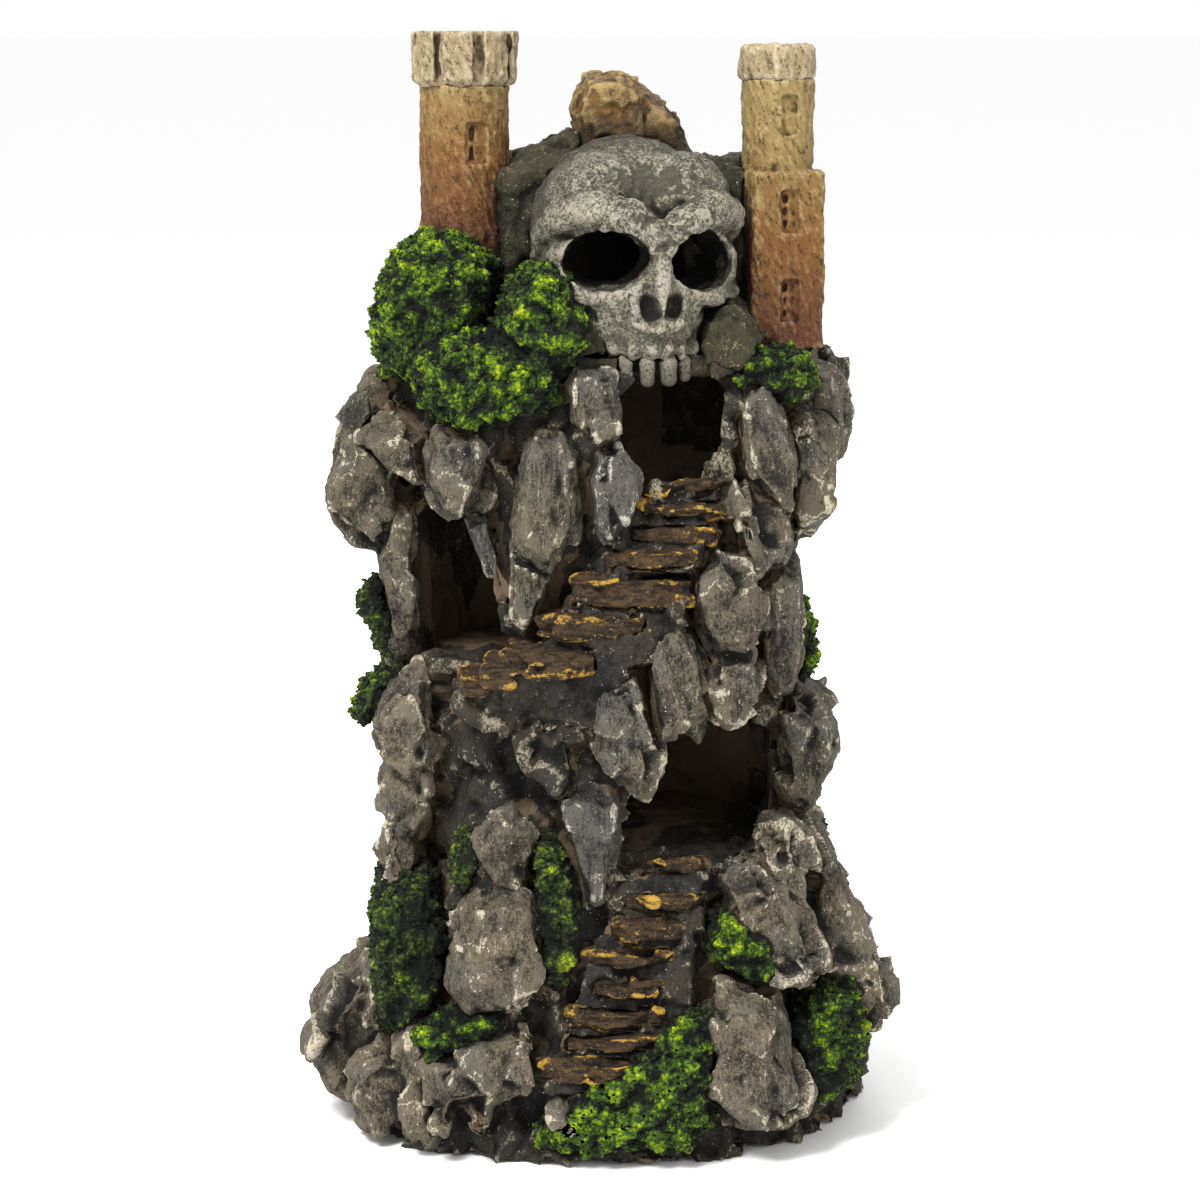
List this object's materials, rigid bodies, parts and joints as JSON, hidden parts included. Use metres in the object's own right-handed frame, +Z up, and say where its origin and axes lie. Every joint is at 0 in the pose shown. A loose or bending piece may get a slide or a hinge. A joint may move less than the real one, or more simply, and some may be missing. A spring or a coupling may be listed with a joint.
{
  "type": "aquarium cave ornament",
  "caption": "Hollow rock crag for an aquarium, with open caves, two flights of steps, a skull over the top cave, two castle towers and painted moss",
  "frame": {"origin": "middle of the bounding box at the foot, on the ground", "axes": "+Z up, -Y out of the caves and the skull's side of the ornament, +X to a viewer's right"},
  "size_m": [0.111, 0.095, 0.2],
  "materials": {
    "moss": "granular moss paint, bright green tips over dark green",
    "skull": "matt light grey, rough",
    "tower_top": "matt beige, pitted",
    "tower_shaft": "matt ochre fading down to rust brown, rough",
    "window": "matt brown",
    "treads": "dark brown with ochre edges",
    "summit": "matt tan with orange hollows",
    "wall": "matt dark brown-grey",
    "crag": "matt warm grey with lighter edges"
  },
  "bodies": {
    "root": {"arch_boulder": "crag", "arch_shard": "crag", "back_lower_crags": "crag", "back_middle_crags": "crag", "back_moss": "moss", "back_upper_crags": "crag", "base_centre_slab": "crag", "base_front_boulder": "crag", "base_front_moss": "moss", "base_left_stones": "crag", "base_left_wedge": "crag", "base_plinth": "wall", "cave_left_shard": "crag", "centre_moss": "moss", "hanging_blade": "crag", "hanging_crag": "crag", "jaw_side_rocks": "crag", "ledge_face": "crag", "left_edge_moss": "moss", "left_mid_boulder": "crag", "left_overhang_ledge": "crag", "left_shoulder_boulder": "crag", "left_tower_battlement": "tower_top", "left_tower_shaft": "tower_shaft", "left_tower_window": "window", "lower_cave_floor": "wall", "lower_cave_wall": "wall", "lower_centre_boulder": "crag", "lower_flight_treads": "treads", "lower_left_moss": "moss", "lower_slope_wall": "wall", "middle_cave_floor": "wall", "middle_cave_wall": "wall", "mouth_left_slab": "crag", "mouth_left_stone": "crag", "mouth_right_slab": "crag", "mouth_wall": "wall", "right_buttress": "crag", "right_column": "crag", "right_crag_outer": "crag", "right_crag_tall": "crag", "right_lower_crag": "crag", "right_moss": "moss", "right_shoulder_moss": "moss", "right_stair_stone": "crag", "right_tower_block": "tower_shaft", "right_tower_cap": "tower_top", "right_tower_turret": "tower_top", "right_tower_windows": "window", "roof_plate": "wall", "skull": "skull", "stair_beds": "crag", "stair_boulder_lower": "crag", "stair_boulder_upper": "crag", "stair_foot_wall": "wall", "summit_crag": "summit", "teeth": "skull", "tower_saddles": "crag", "upper_flight_treads": "treads", "upper_left_moss": "moss"}
  },
  "joints": []
}
